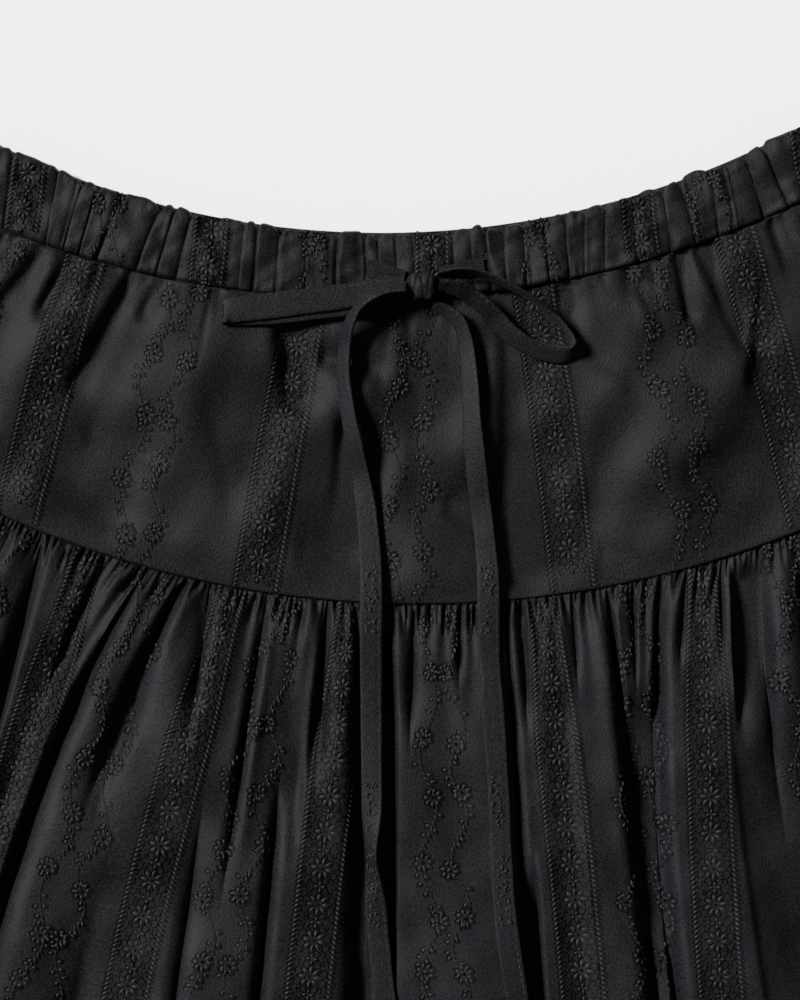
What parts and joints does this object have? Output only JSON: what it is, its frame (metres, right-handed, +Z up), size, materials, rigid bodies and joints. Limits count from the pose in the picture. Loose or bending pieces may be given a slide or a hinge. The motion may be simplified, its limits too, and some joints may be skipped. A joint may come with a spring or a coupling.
{
  "type": "embroidered tiered skirt with drawstring bow",
  "caption": "Laid-flat cotton skirt: gathered elastic waistband, embroidered yoke, gathered lower tier and a drawstring tied in a bow.",
  "frame": {"origin": "on the surface the skirt lies on, under the middle of the laid skirt's bounding box without the drawstring", "axes": "+Z up, out of the skirt's front; +Y towards the waist; +X to the right as the front is seen, along the hem's width"},
  "size_m": [0.6442, 0.4708, 0.0208],
  "materials": {
    "cotton": "black cotton sateen, soft and slightly cool, with tone-on-tone embroidery",
    "tape": "black self-fabric tape, edge stitched",
    "thread": "black embroidery thread with a low satin lustre"
  },
  "bodies": {
    "root": {"waistband_front": "cotton", "waistband_back": "cotton", "yoke_front": "cotton", "yoke_back": "cotton", "tier_front": "cotton", "tier_back": "cotton", "bow_knot": "tape", "loop_left": "tape", "loop_right": "tape", "lead_left": "tape", "lead_right": "tape", "tail_left": "tape", "tail_right": "tape"}
  },
  "joints": []
}
